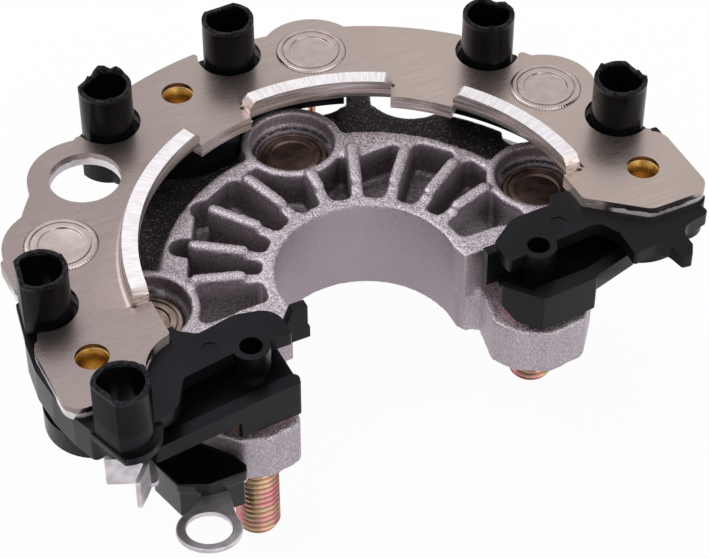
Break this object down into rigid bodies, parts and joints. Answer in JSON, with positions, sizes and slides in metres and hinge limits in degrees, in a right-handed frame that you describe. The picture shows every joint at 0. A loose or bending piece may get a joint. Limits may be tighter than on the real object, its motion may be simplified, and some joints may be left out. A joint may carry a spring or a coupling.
{
  "type": "alternator rectifier",
  "caption": "Horseshoe alternator rectifier: stamped and cast heat sinks with press-fit diodes, moulded wire tubes, terminal studs and a suppression capacitor.",
  "frame": {"origin": "centre of the diode pitch circle, in the top face of the stamped negative heat sink", "axes": "+Z towards the open ends of the wire tubes, +Y towards the closed side of the horseshoe, studs point to -Z"},
  "size_m": [0.1205, 0.0948, 0.0548],
  "materials": {
    "plate_alloy": "brushed",
    "cast_alloy": "as cast",
    "moulding": "satin black",
    "rivet_brass": "plain",
    "stud_steel": "yellow plated",
    "cup_metal": "plated",
    "lead_copper": "plain",
    "potting": "cast resin",
    "tinned_metal": "tinned",
    "winding": "film roll"
  },
  "bodies": {
    "root": {"negative_heat_sink": "plate_alloy", "positive_heat_sink": "cast_alloy", "terminal_block_left": "moulding", "terminal_block_center": "moulding", "terminal_block_right": "moulding", "tubular_rivets": "rivet_brass", "insulating_bushes": "moulding", "battery_stud": "stud_steel", "auxiliary_stud": "stud_steel", "capacitor_case": "moulding", "capacitor_lid": "moulding", "capacitor_winding": "winding", "capacitor_strap": "tinned_metal", "ring_terminal": "tinned_metal", "phase_strip_left": "tinned_metal", "negative_cup_left": "cup_metal", "negative_lead_left": "lead_copper", "negative_potting_left": "potting", "positive_cup_left": "cup_metal", "positive_lead_left": "lead_copper", "positive_potting_left": "potting", "phase_strip_center": "tinned_metal", "negative_cup_center": "cup_metal", "negative_lead_center": "lead_copper", "negative_potting_center": "potting", "positive_cup_center": "cup_metal", "positive_lead_center": "lead_copper", "positive_potting_center": "potting", "phase_strip_right": "tinned_metal", "negative_cup_right": "cup_metal", "negative_lead_right": "lead_copper", "negative_potting_right": "potting", "positive_cup_right": "cup_metal", "positive_lead_right": "lead_copper", "positive_potting_right": "potting"}
  },
  "joints": []
}
